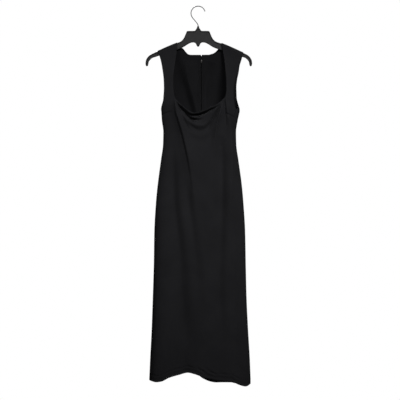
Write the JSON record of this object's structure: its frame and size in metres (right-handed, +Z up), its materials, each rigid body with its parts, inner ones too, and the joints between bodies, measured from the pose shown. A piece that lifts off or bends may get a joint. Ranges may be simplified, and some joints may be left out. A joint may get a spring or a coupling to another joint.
{
  "type": "sleeveless square neck dress on a clothes hanger",
  "caption": "Long fitted sleeveless dress with a slack square neck and a back zip, hung by wide straps on a moulded hanger with a wire hook.",
  "frame": {"origin": "the inside top of the hanger's hook, where a rail carries it, on the middle plane of the hanger", "axes": "+Z up along the dress; +X to the right of somebody who faces the front of the dress; the front faces -Y"},
  "size_m": [0.4324, 0.111, 1.5395],
  "materials": {
    "crepe": "soft matte stretch crepe with a faint sheen",
    "zip_tape": "matte woven tape",
    "nickel": "plated, slightly worn",
    "hanger_plastic": "moulded, semi-gloss",
    "steel_wire": "bright drawn wire"
  },
  "bodies": {
    "dress": {"front": "crepe", "back_left": "crepe", "back_right": "crepe", "hem_front": "crepe", "hem_back_left": "crepe", "hem_back_right": "crepe", "zip_tape_left": "zip_tape", "zip_tape_right": "zip_tape", "zip_slider": "nickel", "hanger_body": "hanger_plastic", "hanger_collar": "hanger_plastic", "hanger_hook": "steel_wire"},
    "pull": {"zip_pull": "nickel"}
  },
  "joints": [
    {"name": "pull_swing", "type": "hinge", "parent": "dress", "child": "pull", "pos_m": [0.0105, 0.01638, -0.2212], "axis": [1, 0, 0], "range_deg": [0, 165]}
  ]
}
